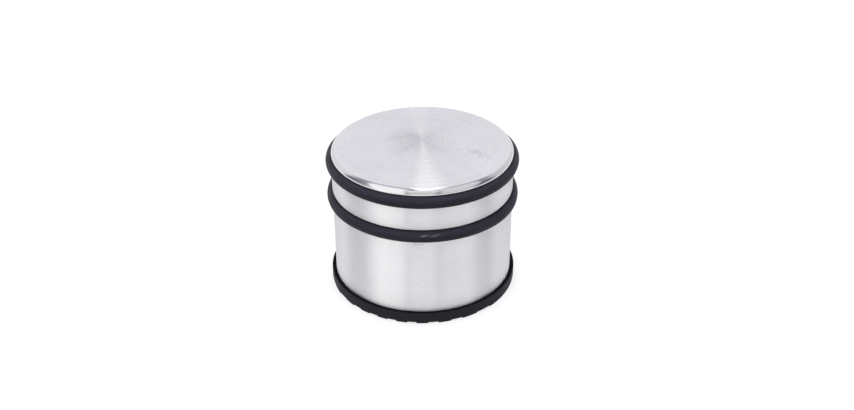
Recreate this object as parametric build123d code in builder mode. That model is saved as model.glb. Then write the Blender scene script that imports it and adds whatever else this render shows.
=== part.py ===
# Free-standing door stop: a weighted steel drum on a rubber base, with two rubber rings round it.
# The origin is the centre of the underside, on the floor, with +Z up. Sizes are in millimetres.

from build123d import *
from math import acos, cos, degrees, radians, sqrt, tan
import os

os.makedirs("parts", exist_ok=True)

# Steel shell, a drawn cup that stands mouth down
shell_diameter = 90.0
overall_height = 76.3
sheet_thickness = 0.6
crown_rise = 3.0  # middle of the top above the edge where crown and wall would meet
corner_radius = 3.0

# Rubber rings and the rolled grooves that hold them
ring_thickness = 6.5
ring_sink = 0.55  # middle of the ring's section, inside the shell's outer skin
ring_drop = 8.83  # middle of the upper ring, below the middle of the top
ring_spacing = 18.35
ring_clearance = 0.05
groove_flank_angle = 4.0  # degrees, by which each flank opens outwards

# Rubber base pad
pad_floor_thickness = 4.0
pad_lip_height = 2.0
pad_lip_width = 2.0
pad_clearance = 0.1
pad_edge_chamfer = 0.3
tread_pitch = 10.0
tread_groove_width = 4.4
tread_groove_depth = 0.7
tread_draft = 10.0  # degrees

# Cast ballast
ballast_clearance = 0.1  # all round, to the backs of the grooves
ballast_headroom = 0.5  # under the crown, at the ballast's edge
ballast_chamfer = 2.0

# Places that follow from those sizes
shell_radius = shell_diameter / 2
crown_radius = (shell_radius**2 + crown_rise**2) / (2 * crown_rise)
crown_centre_z = overall_height - crown_radius

ring_centre_radius = shell_radius - ring_sink
groove_radius = ring_thickness / 2 + ring_clearance
flank = radians(groove_flank_angle)
upper_ring_z = overall_height - ring_drop
lower_ring_z = upper_ring_z - ring_spacing

pad_seat_radius = shell_radius + pad_clearance
pad_radius = pad_seat_radius + pad_lip_width
pad_top_z = pad_floor_thickness + pad_lip_height
grooves_each_side = int((pad_radius - tread_groove_width / 2) / tread_pitch)

ballast_radius = ring_centre_radius - groove_radius - sheet_thickness - ballast_clearance
ballast_top_z = crown_centre_z + sqrt((crown_radius - sheet_thickness) ** 2 - ballast_radius**2) - ballast_headroom


def drum_section(inset):
    """Half-section of the drum, drawn in from its outer skin. Floor and flanks of a groove touch one circle."""
    wall = shell_radius - inset
    crown = crown_radius - inset
    wall_angle = degrees(acos(wall / crown))
    floor = ring_centre_radius - groove_radius - inset
    floor_half = (groove_radius + inset) / cos(flank) - (groove_radius + inset) * tan(flank)
    mouth = shell_radius + ring_sink
    mouth_half = (groove_radius + inset) / cos(flank) + (mouth - ring_centre_radius) * tan(flank)
    with BuildSketch(Plane.XZ) as section:
        with BuildLine():
            top = CenterArc((0, crown_centre_z), crown, wall_angle, 90 - wall_angle)
            Polyline(top @ 1, (0, pad_floor_thickness), (wall, pad_floor_thickness), top @ 0)
        make_face()
        fillet(section.vertices().sort_by_distance(top @ 0)[0], corner_radius - inset)
        for ring_z in (upper_ring_z, lower_ring_z):
            with BuildLine():
                Polyline(
                    (floor, ring_z - floor_half),
                    (mouth, ring_z - mouth_half),
                    (mouth, ring_z + mouth_half),
                    (floor, ring_z + floor_half),
                    close=True,
                )
            make_face(mode=Mode.SUBTRACT)
    return section.sketch


outer_skin = drum_section(0)
inner_skin = drum_section(sheet_thickness)

# Shell: the sheet between the outer and the inner skin, open at the foot
with BuildPart() as steel_shell:
    revolve(outer_skin, axis=Axis.Z)
    revolve(inner_skin, axis=Axis.Z, mode=Mode.SUBTRACT)
steel_shell.part.label = "steel_shell"
export_step(steel_shell.part, "parts/steel_shell.step")

# Ballast: a cast plug that slides up past the backs of the grooves and stands on the base pad
with BuildPart() as ballast:
    with BuildSketch(Plane.XY.offset(pad_floor_thickness)):
        Circle(ballast_radius)
    extrude(amount=ballast_top_z - pad_floor_thickness)
    chamfer(ballast.edges().sort_by(Axis.Z)[-1], ballast_chamfer)
ballast.part.label = "ballast"
export_step(ballast.part, "parts/ballast.step")

# Rings: round in section, sunk a little over half their thickness into the grooves
for ring_name, ring_z in (("upper_ring", upper_ring_z), ("lower_ring", lower_ring_z)):
    with BuildPart() as ring:
        with BuildSketch(Plane.XZ):
            with Locations((ring_centre_radius, ring_z)):
                Circle(ring_thickness / 2)
        revolve(axis=Axis.Z)
    ring.part.label = ring_name
    export_step(ring.part, f"parts/{ring_name}.step")

# Base pad: a shallow rubber dish that takes the shell's rim, with tread grooves across its underside
with BuildPart() as base_pad:
    with BuildSketch(Plane.XZ) as pad_section:
        with BuildLine():
            Polyline(
                (0, 0),
                (pad_radius, 0),
                (pad_radius, pad_top_z),
                (pad_seat_radius, pad_top_z),
                (pad_seat_radius, pad_floor_thickness),
                (0, pad_floor_thickness),
                close=True,
            )
        make_face()
        chamfer(pad_section.vertices().group_by(Axis.X)[-1], pad_edge_chamfer)
    revolve(axis=Axis.Z)
    with BuildSketch(Plane.XY):
        with GridLocations(tread_pitch, 0, 2 * grooves_each_side + 1, 1):
            Rectangle(tread_groove_width, 2 * pad_radius + tread_pitch)
    extrude(amount=tread_groove_depth, taper=tread_draft, mode=Mode.SUBTRACT)
base_pad.part.label = "base_pad"
export_step(base_pad.part, "parts/base_pad.step")
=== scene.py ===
# The looks of a free-standing door stop: a weighted steel drum on a rubber base, with two rubber rings.
# Everything is in metres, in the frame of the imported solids: the origin is under the middle, +Z is up.
from math import acos, atan2, exp, hypot, pi, radians, sqrt, tan

import bmesh
import bpy
from mathutils import Matrix, Vector


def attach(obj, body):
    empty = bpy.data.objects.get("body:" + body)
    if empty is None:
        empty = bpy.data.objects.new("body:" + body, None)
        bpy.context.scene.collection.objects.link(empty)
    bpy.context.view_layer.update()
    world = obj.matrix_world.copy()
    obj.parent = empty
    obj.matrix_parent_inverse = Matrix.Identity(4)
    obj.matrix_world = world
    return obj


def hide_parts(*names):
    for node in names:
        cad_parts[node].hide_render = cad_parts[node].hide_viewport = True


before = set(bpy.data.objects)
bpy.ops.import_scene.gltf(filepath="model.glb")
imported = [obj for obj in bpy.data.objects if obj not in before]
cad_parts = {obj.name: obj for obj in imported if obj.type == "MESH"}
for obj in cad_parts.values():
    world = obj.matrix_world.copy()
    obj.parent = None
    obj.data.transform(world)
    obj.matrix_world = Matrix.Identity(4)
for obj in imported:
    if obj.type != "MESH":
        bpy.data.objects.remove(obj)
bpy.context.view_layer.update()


# Steel shell: a cup drawn from thin stainless sheet, standing mouth down over the weight, with two
# rolled grooves that hold the rings. Its crowned top is turned to a fine ring finish, its rounded
# edge is polished bright down to the upper groove, and its wall is brushed round the drum.
mm = 0.001
steps_round = 256
crown_steps = 32
edge_steps = 20
rounding_steps = 4
weld = 0.001 * mm
drum_radius = 45.0 * mm
drum_top = 76.3 * mm
drum_rim = 4.0 * mm
sheet = 0.6 * mm
crown_radius = 339.0 * mm
edge_radius = 3.0 * mm
edge_foot = 0.3 * mm
upper_ring_height = 67.47 * mm
lower_ring_height = 49.12 * mm
groove_floor_radius = 41.15 * mm
groove_mouth = 3.30 * mm
groove_lean = radians(4.0)
groove_floor_half = groove_mouth - (drum_radius - groove_floor_radius) * tan(groove_lean)
lip_rounding = 0.22 * mm
floor_rounding = 0.5 * mm


def line_to(profile, pen, radius, height):
    """Draws one straight edge of a half section and returns its end."""
    end = profile.verts.new((radius, 0, height))
    profile.edges.new((pen, end))
    return end


def arc_round(profile, pen, radius, height, turn, steps):
    """Draws an arc of a half section about a centre, over a turn in radians, and returns its end."""
    made = bmesh.ops.spin(profile, geom=[pen], cent=(radius, 0, height), axis=(0, 1, 0), angle=turn,
                          steps=steps)
    return made["geom_last"][0]


def turn_round(profile):
    """Turns a half section once round the drum's axis into a closed skin."""
    section = profile.verts[:] + profile.edges[:]
    bmesh.ops.spin(profile, geom=section, cent=(0, 0, 0), axis=(0, 0, 1), angle=2 * pi, steps=steps_round,
                   use_merge=True)
    bmesh.ops.remove_doubles(profile, verts=profile.verts, dist=weld)
    bmesh.ops.recalc_face_normals(profile, faces=profile.faces)


def finish_piece(name, shape, materials, sharp_from):
    """Makes an object of a finished bmesh, smooth but for edges sharper than an angle in degrees."""
    mesh = bpy.data.meshes.new(name)
    shape.to_mesh(mesh)
    shape.free()
    mesh.shade_smooth()
    mesh.set_sharp_from_angle(angle=radians(sharp_from))
    for material in materials:
        mesh.materials.append(material)
    piece = bpy.data.objects.new(name, mesh)
    bpy.context.scene.collection.objects.link(piece)
    return piece


skin = bmesh.new()
edge_centre_radius = drum_radius - edge_radius
crown_centre = drum_top - crown_radius
edge_centre = crown_centre + sqrt((crown_radius - edge_radius) ** 2 - edge_centre_radius ** 2)
crown_turn = atan2(edge_centre_radius, edge_centre - crown_centre)
pen = skin.verts.new((0, 0, drum_top))
pen = arc_round(skin, pen, 0, crown_centre, crown_turn, crown_steps)
edge_start = pen.co.z
top_lip = upper_ring_height + groove_mouth
edge_turn = acos((top_lip + edge_foot - edge_centre) / edge_radius) - crown_turn
pen = arc_round(skin, pen, edge_centre_radius, edge_centre, edge_turn, edge_steps)
lips = []
floors = []
for groove_height in (upper_ring_height, lower_ring_height):
    pen = line_to(skin, pen, drum_radius, groove_height + groove_mouth)
    lips.append(pen)
    pen = line_to(skin, pen, groove_floor_radius, groove_height + groove_floor_half)
    floors.append(pen)
    pen = line_to(skin, pen, groove_floor_radius, groove_height - groove_floor_half)
    floors.append(pen)
    pen = line_to(skin, pen, drum_radius, groove_height - groove_mouth)
    lips.append(pen)
pen = line_to(skin, pen, drum_radius, drum_rim)
for corners, rounding in ((lips, lip_rounding), (floors, floor_rounding)):
    bmesh.ops.bevel(skin, geom=corners, offset=rounding, offset_type="OFFSET", segments=rounding_steps,
                    profile=0.5, affect="VERTICES", material=-1)
turn_round(skin)
turned_top, polished_edge, brushed_wall = 0, 1, 2
for face in skin.faces:
    middle = face.calc_center_median().z
    if middle > edge_start:
        face.material_index = turned_top
    elif middle > upper_ring_height:
        face.material_index = polished_edge
    else:
        face.material_index = brushed_wall
bmesh.ops.solidify(skin, geom=skin.faces[:], thickness=sheet)


def put(tree, kind, sockets=None, **settings):
    """Places one shader node. Each named socket gets a value, or a link from another node's output."""
    made = tree.nodes.new(kind)
    for name, value in settings.items():
        setattr(made, name, value)
    for socket, value in (sockets or {}).items():
        if isinstance(value, bpy.types.NodeSocket):
            tree.links.new(value, made.inputs[socket])
        else:
            made.inputs[socket].default_value = value
    return made


def maths(tree, operation, *values):
    """The result of one operation on numbers or other nodes' outputs."""
    return put(tree, "ShaderNodeMath", dict(enumerate(values)), operation=operation).outputs[0]


def vector_maths(tree, operation, *values):
    """The outputs of one operation on vectors: the first is a vector, and Value is a number."""
    return put(tree, "ShaderNodeVectorMath", dict(enumerate(values)), operation=operation).outputs


def ramp(tree, value, low, high, at_low, at_high, soft=False):
    """Runs from at_low to at_high while a value runs from low to high, and eases both ends if soft."""
    easing = "SMOOTHSTEP" if soft else "LINEAR"
    sockets = {0: value, 1: low, 2: high, 3: at_low, 4: at_high}
    return put(tree, "ShaderNodeMapRange", sockets, interpolation_type=easing).outputs[0]


def mix_values(tree, share, first, second):
    """Two values mixed by the second one's share."""
    sockets = {"Factor": share, "A": first, "B": second}
    return put(tree, "ShaderNodeMix", sockets, data_type="FLOAT").outputs["Result"]


def mix_colours(tree, share, first, second):
    """Two colours mixed by the second one's share."""
    sockets = {"Factor": share, "A": first, "B": second}
    return put(tree, "ShaderNodeMix", sockets, data_type="RGBA").outputs["Result"]


def noise(tree, place, scale, detail, rough=0.5):
    """Cloudy noise at a place, with a scale in clouds to a unit of length."""
    sockets = {"Vector": place, "Scale": scale, "Detail": detail, "Roughness": rough}
    return put(tree, "ShaderNodeTexNoise", sockets).outputs[0]


def relief(tree, strength, depth, height):
    """A normal that is raised and lowered by a height."""
    sockets = {"Strength": strength, "Distance": depth, "Height": height}
    return put(tree, "ShaderNodeBump", sockets).outputs[0]


def in_plan(tree, position):
    """A point's place seen from above, and its distance from the drum's axis."""
    flat = vector_maths(tree, "MULTIPLY", position, (1, 1, 0))[0]
    return flat, vector_maths(tree, "LENGTH", flat)["Value"]


def new_material(name):
    """A node material and its empty tree."""
    material = bpy.data.materials.new(name)
    material.use_nodes = True
    tree = material.node_tree
    tree.nodes.clear()
    return material, tree


def end_material(tree, sockets):
    """Ends a material with its shader."""
    shader = put(tree, "ShaderNodeBsdfPrincipled", sockets)
    put(tree, "ShaderNodeOutputMaterial", {"Surface": shader.outputs[0]})


def new_group(name, inputs, outputs):
    """A shader node group with named sockets, and its input and output nodes."""
    group = bpy.data.node_groups.new(name, "ShaderNodeTree")
    for socket, kind in inputs.items():
        group.interface.new_socket(socket, in_out="INPUT", socket_type=kind)
    for socket, kind in outputs.items():
        group.interface.new_socket(socket, in_out="OUTPUT", socket_type=kind)
    return group, group.nodes.new("NodeGroupInput").outputs, group.nodes.new("NodeGroupOutput").inputs


number = "NodeSocketFloat"
vector = "NodeSocketVector"

# Fine lines left by a brush or a turning tool: quick change across them, slow drift along them.
lines, lines_in, lines_out = new_group(
    "tool lines",
    {"Across": number, "Position": vector, "Lines": number, "Drift": number},
    {"Shade": number, "Height": number},
)
drift_start = (0.37, 0.61, 0)
stepped = maths(lines, "MULTIPLY", lines_in["Across"], lines_in["Lines"])
drifted = vector_maths(lines, "MULTIPLY_ADD", lines_in["Position"], lines_in["Drift"], drift_start)[0]
drift = put(lines, "ShaderNodeSeparateXYZ", {0: drifted}).outputs
place = put(lines, "ShaderNodeCombineXYZ", {0: drift[0], 1: drift[1], 2: stepped}).outputs[0]
fine = noise(lines, place, scale=1.0, detail=3.0, rough=0.65)
lines.links.new(fine, lines_out["Height"])
lines.links.new(ramp(lines, fine, 0.3, 0.7, 0.0, 1.0), lines_out["Shade"])


def tool_lines(tree, across, position, count, slip):
    """Places tool lines: their count to the metre across them, and how quickly they drift along."""
    sockets = {"Across": across, "Position": position, "Lines": count, "Drift": slip}
    return put(tree, "ShaderNodeGroup", sockets, node_tree=lines).outputs


# A mark: a soft oval of short strokes, at a place, turn and reach on the surface.
stroked_patch, stroked_in, stroked_out = new_group(
    "stroked_patch",
    {"Position": vector, "Centre": vector, "Turn": vector, "Reach": vector, "Strokes": number},
    {"Mask": number},
)
stroke_stretch = 0.8
stroke_start = (0.3, 0.4, 0.2)
patch_sockets = {"Vector": stroked_in["Position"], "Location": stroked_in["Centre"],
                 "Rotation": stroked_in["Turn"], "Scale": stroked_in["Reach"]}
patch = put(stroked_patch, "ShaderNodeMapping", patch_sockets, vector_type="TEXTURE").outputs[0]
outward = vector_maths(stroked_patch, "LENGTH", patch)["Value"]
fade = ramp(stroked_patch, outward, 0.4, 1.0, 1.0, 0.0, soft=True)
spread_sockets = {0: stroked_in["Strokes"], 1: stroke_stretch, 2: stroke_stretch}
spread = put(stroked_patch, "ShaderNodeCombineXYZ", spread_sockets).outputs[0]
strewn = vector_maths(stroked_patch, "MULTIPLY_ADD", patch, spread, stroke_start)[0]
stroke = ramp(stroked_patch, noise(stroked_patch, strewn, scale=1.0, detail=2.0), 0.38, 0.56, 0.0, 1.0, soft=True)
stroked_patch.links.new(maths(stroked_patch, "MULTIPLY", fade, stroke), stroked_out["Mask"])


def mark(tree, position, colour, centre, turn, reach, strokes, strength, patch_colour):
    """Lays one patch of strokes over a colour and returns the new colour. Its place and reach are in
    millimetres.
    """
    mask = put(tree, "ShaderNodeGroup", {
        "Position": position, "Centre": [value * mm for value in centre],
        "Turn": [radians(value) for value in turn], "Reach": [value * mm for value in reach],
        "Strokes": strokes}, node_tree=stroked_patch).outputs["Mask"]
    return mix_colours(tree, maths(tree, "MULTIPLY", mask, strength), colour, patch_colour)


# The turned top carries a thin film of handling and scuffs. Painted shade darkens one half of it, fading
# out toward the other side, and a painted dark reflection darkens its middle.
turned_dark = (0.735, 0.735, 0.748, 1)
turned_light = (0.816, 0.816, 0.827, 1)
top_film_and_shade = (0.58, 0.58, 0.60, 1)
painted_dark_reflection = (0.30, 0.29, 0.32, 1)
top_scuff = (0.40, 0.39, 0.42, 1)
dark_middle_centre = (-1.5 * mm, -0.5 * mm, 0)
shade_fades_toward = (0.629, -0.777, 0)
line_depth = 0.02 * mm
top_finish, tree = new_material("turned steel top")
position = put(tree, "ShaderNodeTexCoord").outputs["Object"]
flat, from_axis = in_plan(tree, position)
fine_rings = tool_lines(tree, from_axis, position, count=14000.0, slip=30.0)
coarse_rings = tool_lines(tree, from_axis, position, count=1000.0, slip=12.0)
ring_shade = mix_values(tree, 0.36, fine_rings["Shade"], coarse_rings["Shade"])
steel = mix_colours(tree, ring_shade, turned_dark, turned_light)
touched = noise(tree, position, scale=70.0, detail=4.0, rough=0.6)
# Painted shade: the film's share rises over the half of the top turned away from this direction, which
# darkens that half.
ahead = vector_maths(tree, "DOT_PRODUCT", position, shade_fades_toward)["Value"]
far_side_painted_shade = ramp(tree, ahead, -2 * mm, 30 * mm, 0.171, 0.0, soft=True)
film_and_shade = maths(tree, "ADD", ramp(tree, touched, 0.40, 0.70, 0.0, 0.20), far_side_painted_shade)
steel = mix_colours(tree, film_and_shade, steel, top_film_and_shade)
beside = vector_maths(tree, "DISTANCE", flat, dark_middle_centre)["Value"]
middle_zone = ramp(tree, beside, 2 * mm, 21 * mm, 1.0, 0.0, soft=True)
# Painted dark reflection: the middle is darkened in colour. Its rougher turning lines are set below, in the
# roughness.
steel = mix_colours(tree, maths(tree, "MULTIPLY", middle_zone, 0.13), steel, painted_dark_reflection)
for centre, turn, reach, strokes, strength in (
    ((29.6, -2.3, 75), -15, (8.6, 3.6, 8), 9.0, 0.30),
    ((19.9, -3.2, 75), 24, (2.6, 1.1, 8), 0.6, 0.24),
    ((-33.4, -23.6, 74), -16, (3.4, 1.1, 8), 0.6, 0.16),
    ((-9.5, -1.4, 76), 19, (12, 6, 8), 1.8, 0.20),
):
    steel = mark(tree, position, steel, centre, (0, 0, turn), reach, strokes, strength, top_scuff)
torn = maths(tree, "MULTIPLY_ADD", middle_zone, 0.22, fine_rings["Shade"])
end_material(tree, {
    "Base Color": steel, "Metallic": 1.0, "Roughness": ramp(tree, torn, 0.65, 0.85, 0.15, 0.45),
    "Normal": relief(tree, 0.12, line_depth, fine_rings["Height"]),
    "Tangent": put(tree, "ShaderNodeTangent", direction_type="RADIAL", axis="Z").outputs[0],
    "Anisotropic": 1.0, "Anisotropic Rotation": 0.25})

# The polished edge is darker than the top and turns into it over half a millimetre.
polished_dark = (0.60, 0.60, 0.61, 1)
polished_light = (0.65, 0.65, 0.66, 1)
polished_top = (0.735, 0.735, 0.748, 1)
edge_finish, tree = new_material("polished steel edge")
position = put(tree, "ShaderNodeTexCoord").outputs["Object"]
height = put(tree, "ShaderNodeSeparateXYZ", {0: position}).outputs["Z"]
faint = tool_lines(tree, height, position, count=5000.0, slip=60.0)
steel = mix_colours(tree, faint["Shade"], polished_dark, polished_light)
near_top = ramp(tree, height, edge_start - 0.45 * mm, edge_start - 0.05 * mm, 0.0, 1.0, soft=True)
steel = mix_colours(tree, near_top, steel, polished_top)
end_material(tree, {
    "Base Color": steel, "Metallic": 1.0, "Roughness": ramp(tree, faint["Shade"], 0.0, 1.0, 0.16, 0.11)})

# The brushed wall has a film of handling and fine pits, and a small patch just under the lower ring, at the
# front, is darkened in speckles.
brushed_dark = (0.79, 0.79, 0.797, 1)
brushed_light = (0.86, 0.86, 0.865, 1)
wall_film = (0.62, 0.62, 0.65, 1)
wall_pits = (0.62, 0.62, 0.64, 1)
under_ring_darkening = (0.34, 0.34, 0.36, 1)
wall_finish, tree = new_material("brushed steel wall")
position = put(tree, "ShaderNodeTexCoord").outputs["Object"]
height = put(tree, "ShaderNodeSeparateXYZ", {0: position}).outputs["Z"]
fine_brush = tool_lines(tree, height, position, count=4200.0, slip=260.0)
coarse_brush = tool_lines(tree, height, position, count=900.0, slip=30.0)
brush_shade = mix_values(tree, 0.18, fine_brush["Shade"], coarse_brush["Shade"])
steel = mix_colours(tree, brush_shade, brushed_dark, brushed_light)
handling = noise(tree, position, scale=85.0, detail=3.0, rough=0.6)
steel = mix_colours(tree, ramp(tree, handling, 0.35, 0.75, 0.0, 0.16), steel, wall_film)
speckle = noise(tree, position, scale=1500.0, detail=2.0, rough=0.7)
steel = mix_colours(tree, ramp(tree, speckle, 0.35, 0.70, 0.0, 0.22), steel, wall_pits)
steel = mark(tree, position, steel, (12.8, -43.1, 44.5), (0, 0, 16.5), (3.8, 4, 0.9), 5.0, 0.5, under_ring_darkening)
end_material(tree, {
    "Base Color": steel, "Metallic": 1.0, "Roughness": ramp(tree, brush_shade, 0.0, 1.0, 0.43, 0.37),
    "Normal": relief(tree, 0.12, line_depth, fine_brush["Height"]),
    "Tangent": put(tree, "ShaderNodeTangent", direction_type="RADIAL", axis="Z").outputs[0],
    "Anisotropic": 1.0, "Anisotropic Rotation": 0.25, "Specular Tint": (0.55, 0.55, 0.57, 1)})

shell = finish_piece("shell", skin, (top_finish, edge_finish, wall_finish), 50)
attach(shell, "root")
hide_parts("steel_shell")


# Ballast: a plug of cast cement glued inside the drum, which gives the stop its weight.
# It is out of sight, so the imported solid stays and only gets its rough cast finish.
cement_dark = (0.40, 0.39, 0.37, 1)
cement_light = (0.54, 0.53, 0.50, 1)
cement_grit = (0.33, 0.32, 0.31, 1)
cement, tree = new_material("cast cement")
position = put(tree, "ShaderNodeTexCoord").outputs["Object"]
grit = noise(tree, position, scale=900.0, detail=4.0)
blotch = noise(tree, position, scale=60.0, detail=3.0)
pale = mix_colours(tree, blotch, cement_dark, cement_light)
end_material(tree, {
    "Base Color": mix_colours(tree, grit, pale, cement_grit), "Roughness": 0.9,
    "Normal": relief(tree, 0.5, 0.3 * mm, grit)})
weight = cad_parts["ballast"]
weight.data.materials.clear()
weight.data.materials.append(cement)


# Rubber rings: two moulded rings of round black cord, stretched over the drum into its grooves, where
# they take the blow of the door. The rubber is satin, with flow lines that twist round the cord, and its
# outer upper side is lightened as a painted sheen. The lower ring sags a little at both sides and has two
# painted glints.
cord_radius = 3.25 * mm
ring_radius = 44.45 * mm
steps_round_cord = 40
camera_bearing = radians(19.0)
sag_width = radians(38)
sags = ((radians(75), 0.9 * mm), (radians(-80), 0.55 * mm))

rubber_grain, grain_in, grain_out = new_group(
    "rubber grain",
    {"Position": vector, "Grain": number, "Cloud": number},
    {"Tint": number, "Dullness": number, "Height": number},
)
grain = noise(rubber_grain, grain_in["Position"], grain_in["Grain"], detail=3.0, rough=0.6)
cloud = noise(rubber_grain, grain_in["Position"], grain_in["Cloud"], detail=4.0, rough=0.6)
tint = mix_values(rubber_grain, 0.6, grain, cloud)
rubber_grain.links.new(ramp(rubber_grain, tint, 0.35, 0.65, 0.0, 1.0), grain_out["Tint"])
rubber_grain.links.new(ramp(rubber_grain, cloud, 0.3, 0.7, 0.0, 1.0), grain_out["Dullness"])
rubber_grain.links.new(grain, grain_out["Height"])


def facing_up(tree):
    """How far the surface faces up: 1 on top, 0 on a side and -1 below."""
    normal = put(tree, "ShaderNodeNewGeometry").outputs["Normal"]
    return put(tree, "ShaderNodeSeparateXYZ", {0: normal}).outputs["Z"]


ring_black = (0.006, 0.0057, 0.0085, 1)
ring_cloud = (0.010, 0.0096, 0.014, 1)
ring_painted_sheen = (0.036, 0.0343, 0.049, 1)
ring_flow = (0.055, 0.053, 0.070, 1)
ring_painted_glint = (0.30, 0.30, 0.31, 1)
flow_run = (-0.14, -0.05, 1.0)
ring_rubber, tree = new_material("satin ring rubber")
position = put(tree, "ShaderNodeTexCoord").outputs["Object"]
grain_sockets = {"Position": position, "Grain": 1600.0, "Cloud": 120.0}
grained = put(tree, "ShaderNodeGroup", grain_sockets, node_tree=rubber_grain).outputs
twist = vector_maths(tree, "DOT_PRODUCT", position, flow_run)["Value"]
flow = tool_lines(tree, twist, position, count=1300.0, slip=50.0)
black = mix_colours(tree, grained["Tint"], ring_black, ring_cloud)
# Painted sheen: the cord is made lighter on its outer upper side, where light from above falls, while its
# inner side by the steel stays dark.
painted_sheen = ramp(tree, facing_up(tree), -0.35, 0.75, 0.0, 0.8, soft=True)
from_axis = in_plan(tree, position)[1]
outer = ramp(tree, from_axis, 44.9 * mm, 46.4 * mm, 0.0, 1.0, soft=True)
black = mix_colours(tree, maths(tree, "MULTIPLY", painted_sheen, outer), black, ring_painted_sheen)
black = mix_colours(tree, ramp(tree, flow["Shade"], 0.45, 0.95, 0.0, 0.30), black, ring_flow)
# Painted glints: two pale strokes on the upper front of the lower ring, where light glances off the cord.
for centre, turn, reach, strength in (
    ((16.5, -44.2, 50.70), (0, -4, 26), (3.4, 4, 0.40), 0.80),
    ((21.2, -42.2, 50.62), (0, -9, 32), (3.8, 4, 0.42), 0.55),
):
    black = mark(tree, position, black, centre, turn, reach, 0.5, strength, ring_painted_glint)
uneven = mix_values(tree, 0.5, grained["Height"], flow["Height"])
end_material(tree, {
    "Base Color": black, "Roughness": ramp(tree, grained["Dullness"], 0.0, 1.0, 0.50, 0.64),
    "Normal": relief(tree, 0.35, 0.08 * mm, uneven),
    "Specular IOR Level": 0.17, "Specular Tint": (0.88, 0.86, 1.0, 1)})

for name, ring_height in (("upper_ring", upper_ring_height), ("lower_ring", lower_ring_height)):
    cord = bmesh.new()
    standing = Matrix.Translation((ring_radius, 0, ring_height)) @ Matrix.Rotation(pi / 2, 4, "X")
    bmesh.ops.create_circle(cord, radius=cord_radius, segments=steps_round_cord, matrix=standing)
    turn_round(cord)
    if name == "lower_ring":
        for side, roll_down in sags:
            for point in cord.verts:
                bearing = atan2(point.co.x, -point.co.y) - camera_bearing
                point.co.z -= roll_down * exp(-((bearing - side) / sag_width) ** 2)
    ring = finish_piece(name + "_rubber", cord, (ring_rubber,), 60)
    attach(ring, "root")
    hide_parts(name)


# Base pad: one moulding of matt black rubber, glued under the drum. A low lip stands round the
# foot of the steel wall, and straight tread ribs across the underside keep the stop from sliding.
pad_radius = 47.1 * mm
pad_lip = 6.0 * mm
pad_seat = 4.0 * mm
pad_seat_radius = 45.1 * mm
tread_pitch = 10.0 * mm
tread_gap = 4.4 * mm
tread_depth = 0.7 * mm
tread_lean = 0.12 * mm
tread_gaps = range(-4, 5)
lip_edge = 0.45 * mm
rib_edge = 0.2 * mm
cut_weld = 0.0001 * mm
pad_weld = 0.0005 * mm
same_height = 0.01 * mm
same_radius = 0.2 * mm

moulding = bmesh.new()
bmesh.ops.create_circle(moulding, cap_ends=True, radius=pad_radius, segments=steps_round,
                        matrix=Matrix.Translation((0, 0, tread_depth)))
for count in tread_gaps:
    for side in (-0.5, 0.5):
        cut = count * tread_pitch + side * tread_gap
        bmesh.ops.bisect_plane(moulding, geom=moulding.verts[:] + moulding.edges[:] + moulding.faces[:],
                               dist=cut_weld, plane_co=(cut, 0, 0), plane_no=(1, 0, 0))
strips = moulding.faces[:]
feet = []
for strip in strips:
    across = strip.calc_center_bounds().x
    if abs(across - tread_pitch * round(across / tread_pitch)) < tread_gap / 2:
        continue
    width = max(v.co.x for v in strip.verts) - min(v.co.x for v in strip.verts)
    made = bmesh.ops.extrude_face_region(moulding, geom=[strip])["geom"]
    foot = [part for part in made if isinstance(part, bmesh.types.BMVert)]
    feet += [part for part in made if isinstance(part, bmesh.types.BMFace)]
    bmesh.ops.delete(moulding, geom=[strip], context="FACES_ONLY")
    bmesh.ops.translate(moulding, verts=foot, vec=(0, 0, -tread_depth))
    bmesh.ops.scale(moulding, verts=foot, vec=(1 - 2 * tread_lean / width, 1, 1),
                    space=Matrix.Translation((-across, 0, 0)))
foot_edges = list({edge for foot in feet for edge in foot.edges})
bmesh.ops.bevel(moulding, geom=foot_edges, offset=rib_edge, offset_type="OFFSET", segments=2, profile=0.5,
                affect="EDGES", material=-1)
outline = [edge for edge in moulding.edges if edge.is_boundary]
seat_share = pad_seat_radius / pad_radius
for rise, share in ((pad_lip - tread_depth, 1.0), (0.0, seat_share), (pad_seat - pad_lip, 1.0)):
    made = bmesh.ops.extrude_edge_only(moulding, edges=outline)["geom"]
    outline = [part for part in made if isinstance(part, bmesh.types.BMEdge) and part.is_boundary]
    raised = [part for part in made if isinstance(part, bmesh.types.BMVert)]
    bmesh.ops.translate(moulding, verts=raised, vec=(0, 0, rise))
    bmesh.ops.scale(moulding, verts=raised, vec=(share, share, 1))
bmesh.ops.contextual_create(moulding, geom=outline)
lip_edges = [edge for edge in moulding.edges if all(abs(v.co.z - pad_lip) < same_height for v in edge.verts)
             and abs(hypot(*edge.verts[0].co.xy) - hypot(*edge.verts[1].co.xy)) < same_radius]
bmesh.ops.bevel(moulding, geom=lip_edges, offset=lip_edge, offset_type="OFFSET", segments=4, profile=0.5,
                affect="EDGES", material=-1)
bmesh.ops.remove_doubles(moulding, verts=moulding.verts, dist=pad_weld)
bmesh.ops.recalc_face_normals(moulding, faces=moulding.faces)

pad_black = (0.013, 0.0127, 0.018, 1)
pad_cloud = (0.020, 0.0195, 0.027, 1)
pad_lip_painted_shade = (0.005, 0.0048, 0.006, 1)
pad_rubber, tree = new_material("matt base rubber")
position = put(tree, "ShaderNodeTexCoord").outputs["Object"]
grain_sockets = {"Position": position, "Grain": 1300.0, "Cloud": 90.0}
grained = put(tree, "ShaderNodeGroup", grain_sockets, node_tree=rubber_grain).outputs
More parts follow.
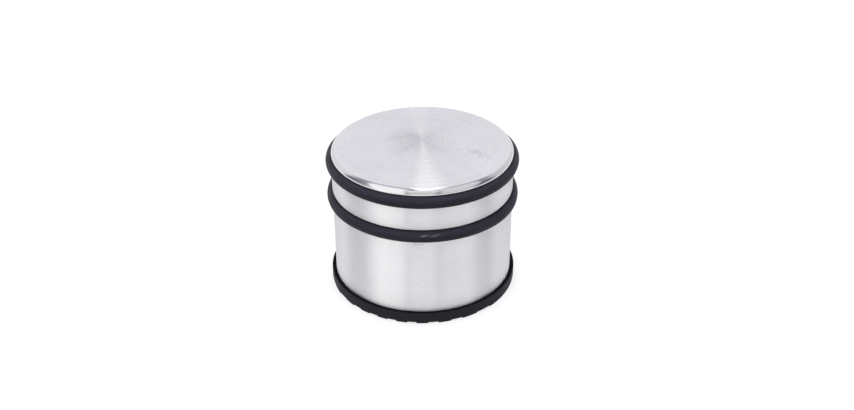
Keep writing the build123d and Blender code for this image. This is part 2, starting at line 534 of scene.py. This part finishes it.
# Painted shade: the lip's upward face is darkened in colour, and it is also made fully rough.
lip_top = ramp(tree, facing_up(tree), 0.6, 0.95, 0.0, 1.0, soft=True)
black = mix_colours(tree, grained["Tint"], pad_black, pad_cloud)
black = mix_colours(tree, lip_top, black, pad_lip_painted_shade)
rough = mix_values(tree, lip_top, ramp(tree, grained["Dullness"], 0.0, 1.0, 0.52, 0.68), 1.0)
end_material(tree, {
    "Base Color": black, "Roughness": rough, "Normal": relief(tree, 0.4, 0.1 * mm, grained["Height"]),
    "Specular IOR Level": 0.13})

pad = finish_piece("pad", moulding, (pad_rubber,), 40)
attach(pad, "root")
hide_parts("base_pad")


# Camera: the photograph's view, from a little above the drum, with a normal lens and no shift.
# The bearing turns the tread ribs to where the photograph shows them along the foot.
picture_width = 854
camera_pitch = radians(30.99)
camera_distance = 0.5529
camera_roll = 0.0044
focal_pixels = 1088.5
camera_aside = 2.196 * mm
camera_above = 2.228 * mm
drum_middle = Vector((0, 0, 36.568 * mm))
looking = Matrix.Rotation(camera_bearing, 4, "Z") @ Matrix.Rotation(pi / 2 - camera_pitch, 4, "X")
stand = Matrix.Translation(drum_middle) @ looking
stand = stand @ Matrix.Translation((camera_aside, camera_above, camera_distance))
lens = bpy.data.cameras.new("camera")
lens.sensor_fit = "HORIZONTAL"
lens.sensor_width = 36.0
lens.lens = lens.sensor_width * focal_pixels / picture_width
lens.clip_start = 0.01
camera = bpy.data.objects.new("camera", lens)
camera.matrix_world = stand @ Matrix.Rotation(-camera_roll, 4, "Z")
bpy.context.scene.collection.objects.link(camera)
bpy.context.scene.camera = camera


# Floor: a plain pale sheet. Part of its white is a glow of its own, shown to the camera and to
# reflections, and the rest is the light that falls on it, so it stays white and keeps a soft shadow.
floor_size = 0.75
floor_grey = (0.53, 0.53, 0.53, 1)
glow_seen = 0.62
glow_mirrored = 0.70
floor_shape = bmesh.new()
bmesh.ops.create_grid(floor_shape, x_segments=1, y_segments=1, size=floor_size)
floor_finish, tree = new_material("pale floor")
path = put(tree, "ShaderNodeLightPath").outputs
mirrored = maths(tree, "MAXIMUM", path["Is Glossy Ray"], path["Is Transmission Ray"])
glow_level = maths(tree, "MULTIPLY_ADD", path["Is Camera Ray"], glow_seen,
                   maths(tree, "MULTIPLY", mirrored, glow_mirrored))
matt = put(tree, "ShaderNodeBsdfDiffuse", {"Color": floor_grey}).outputs[0]
glow = put(tree, "ShaderNodeEmission", {"Color": (1, 1, 1, 1), "Strength": glow_level}).outputs[0]
both = put(tree, "ShaderNodeAddShader", {0: matt, 1: glow}).outputs[0]
put(tree, "ShaderNodeOutputMaterial", {"Surface": both})
floor = finish_piece("floor", floor_shape, (floor_finish,), 30)


# Light: a white tent with soft panels. A large one leans over the drum from the front left and a
# weaker one from the front right; four more stand in front, high and low, and low at the left; a
# narrow one hangs overhead. The tent's ceiling, upper corners and the camera's side are dim.
squared = Matrix.Rotation(camera_bearing, 3, "Z")
warm_white = (1.0, 0.985, 0.95)
right_white = (1.0, 0.985, 0.96)
front_white = (1.0, 0.99, 0.97)


def soft_panel(name, direction, run, colour, distance, width, length, level):
    """Hangs a soft panel facing the drum, its length along run, as bright as a level of white. Directions
    are as the camera sees them: x to the right, y away, z up."""
    away = squared @ Vector(direction).normalized()
    along = squared @ Vector(run).normalized()
    side = along.cross(away).normalized()
    lamp = bpy.data.lights.new(name, "AREA")
    lamp.shape = "RECTANGLE"
    lamp.size = width
    lamp.size_y = length
    lamp.energy = level * pi * width * length
    lamp.color = colour
    panel = bpy.data.objects.new(name, lamp)
    axes = Matrix((side, along, side.cross(along))).transposed().to_4x4()
    panel.matrix_world = Matrix.Translation(drum_middle + away * distance) @ axes
    bpy.context.scene.collection.objects.link(panel)


soft_panel("left panel", (-0.489, -0.272, 0.828), (0.018, 0.511, 0.860), warm_white,
           distance=0.908, width=0.53, length=1.70, level=1.03)
soft_panel("right panel", (0.507, -0.237, 0.828), (-0.053, 0.508, 0.860), right_white,
           distance=0.908, width=0.58, length=1.70, level=0.60)
soft_panel("front panel", (0, -0.848, 0.530), (0, 0.530, 0.848), front_white,
           distance=0.9, width=0.50, length=1.12, level=0.50)
soft_panel("low front panel", (0, -0.997, 0.075), (0, 0.075, 0.997), front_white,
           distance=0.9, width=0.50, length=0.13, level=0.65)
soft_panel("high front panel", (0, -0.469, 0.883), (0, 0.883, 0.469), front_white,
           distance=0.9, width=0.50, length=0.50, level=0.34)
soft_panel("low left panel", (-0.685, -0.709, 0.165), (0.115, 0.119, 0.986), warm_white,
           distance=0.9, width=0.80, length=0.40, level=0.38)
soft_panel("overhead panel", (0.04, 0.155, 0.987), (0, 0.987, -0.155), warm_white,
           distance=0.95, width=0.18, length=0.68, level=2.5)

# The tent's sides: colours by the bearing from the camera's side, in degrees to the right.
tent = (
    (-180, (0.94, 0.935, 0.985)),
    (-150, (1.02, 1.015, 1.06)),
    (-106, (1.08, 1.075, 1.12)),
    (-98, (0.275, 0.271, 0.325)),
    (-82, (0.275, 0.271, 0.325)),
    (-76, (0.39, 0.387, 0.410)),
    (-62, (0.39, 0.387, 0.410)),
    (-56, (0.160, 0.157, 0.186)),
    (-20, (0.160, 0.157, 0.186)),
    (-13, (0.273, 0.271, 0.292)),
    (12, (0.273, 0.271, 0.292)),
    (19, (0.294, 0.290, 0.330)),
    (88, (0.235, 0.231, 0.279)),
    (98, (0.80, 0.80, 0.86)),
    (150, (1.00, 0.995, 1.04)),
    (180, (0.94, 0.935, 0.985)),
)
ceiling_colour = (0.395, 0.389, 0.455, 1)
ceiling_lean = -0.30
corner_droop = 0.25
studio = bpy.data.worlds.new("studio")
bpy.context.scene.world = studio
studio.use_nodes = True
tree = studio.node_tree
tree.nodes.clear()
direction = put(tree, "ShaderNodeTexCoord").outputs["Generated"]
turned = put(tree, "ShaderNodeVectorRotate", {"Vector": direction, "Angle": -camera_bearing},
             rotation_type="Z_AXIS").outputs[0]
axes = put(tree, "ShaderNodeSeparateXYZ", {0: turned}).outputs
toward = maths(tree, "MULTIPLY", axes["Y"], -1.0)
bearing = maths(tree, "ARCTAN2", axes["X"], toward)
sides = put(tree, "ShaderNodeValToRGB", {0: ramp(tree, bearing, -pi, pi, 0.0, 1.0)})
stops = sides.color_ramp.elements
while len(stops) < len(tent):
    stops.new(0.5)
for stop, (turn, colour) in zip(stops, tent):
    stop.position = (turn + 180) / 360
    stop.color = (*colour, 1)
lift = maths(tree, "MULTIPLY_ADD", axes["Y"], ceiling_lean, axes["Z"])
lift = maths(tree, "MULTIPLY_ADD", maths(tree, "ABSOLUTE", axes["X"]), corner_droop, lift)
ceiling = ramp(tree, lift, 0.69, 0.86, 0.0, 1.0, soft=True)
room = mix_colours(tree, ceiling, sides.outputs["Color"], ceiling_colour)
seen = put(tree, "ShaderNodeLightPath").outputs["Is Camera Ray"]
shown = mix_colours(tree, seen, room, (1, 1, 1, 1))
background = put(tree, "ShaderNodeBackground", {"Color": shown, "Strength": 1.0}).outputs[0]
put(tree, "ShaderNodeOutputWorld", {"Surface": background})

bpy.context.scene.view_settings.view_transform = "Standard"
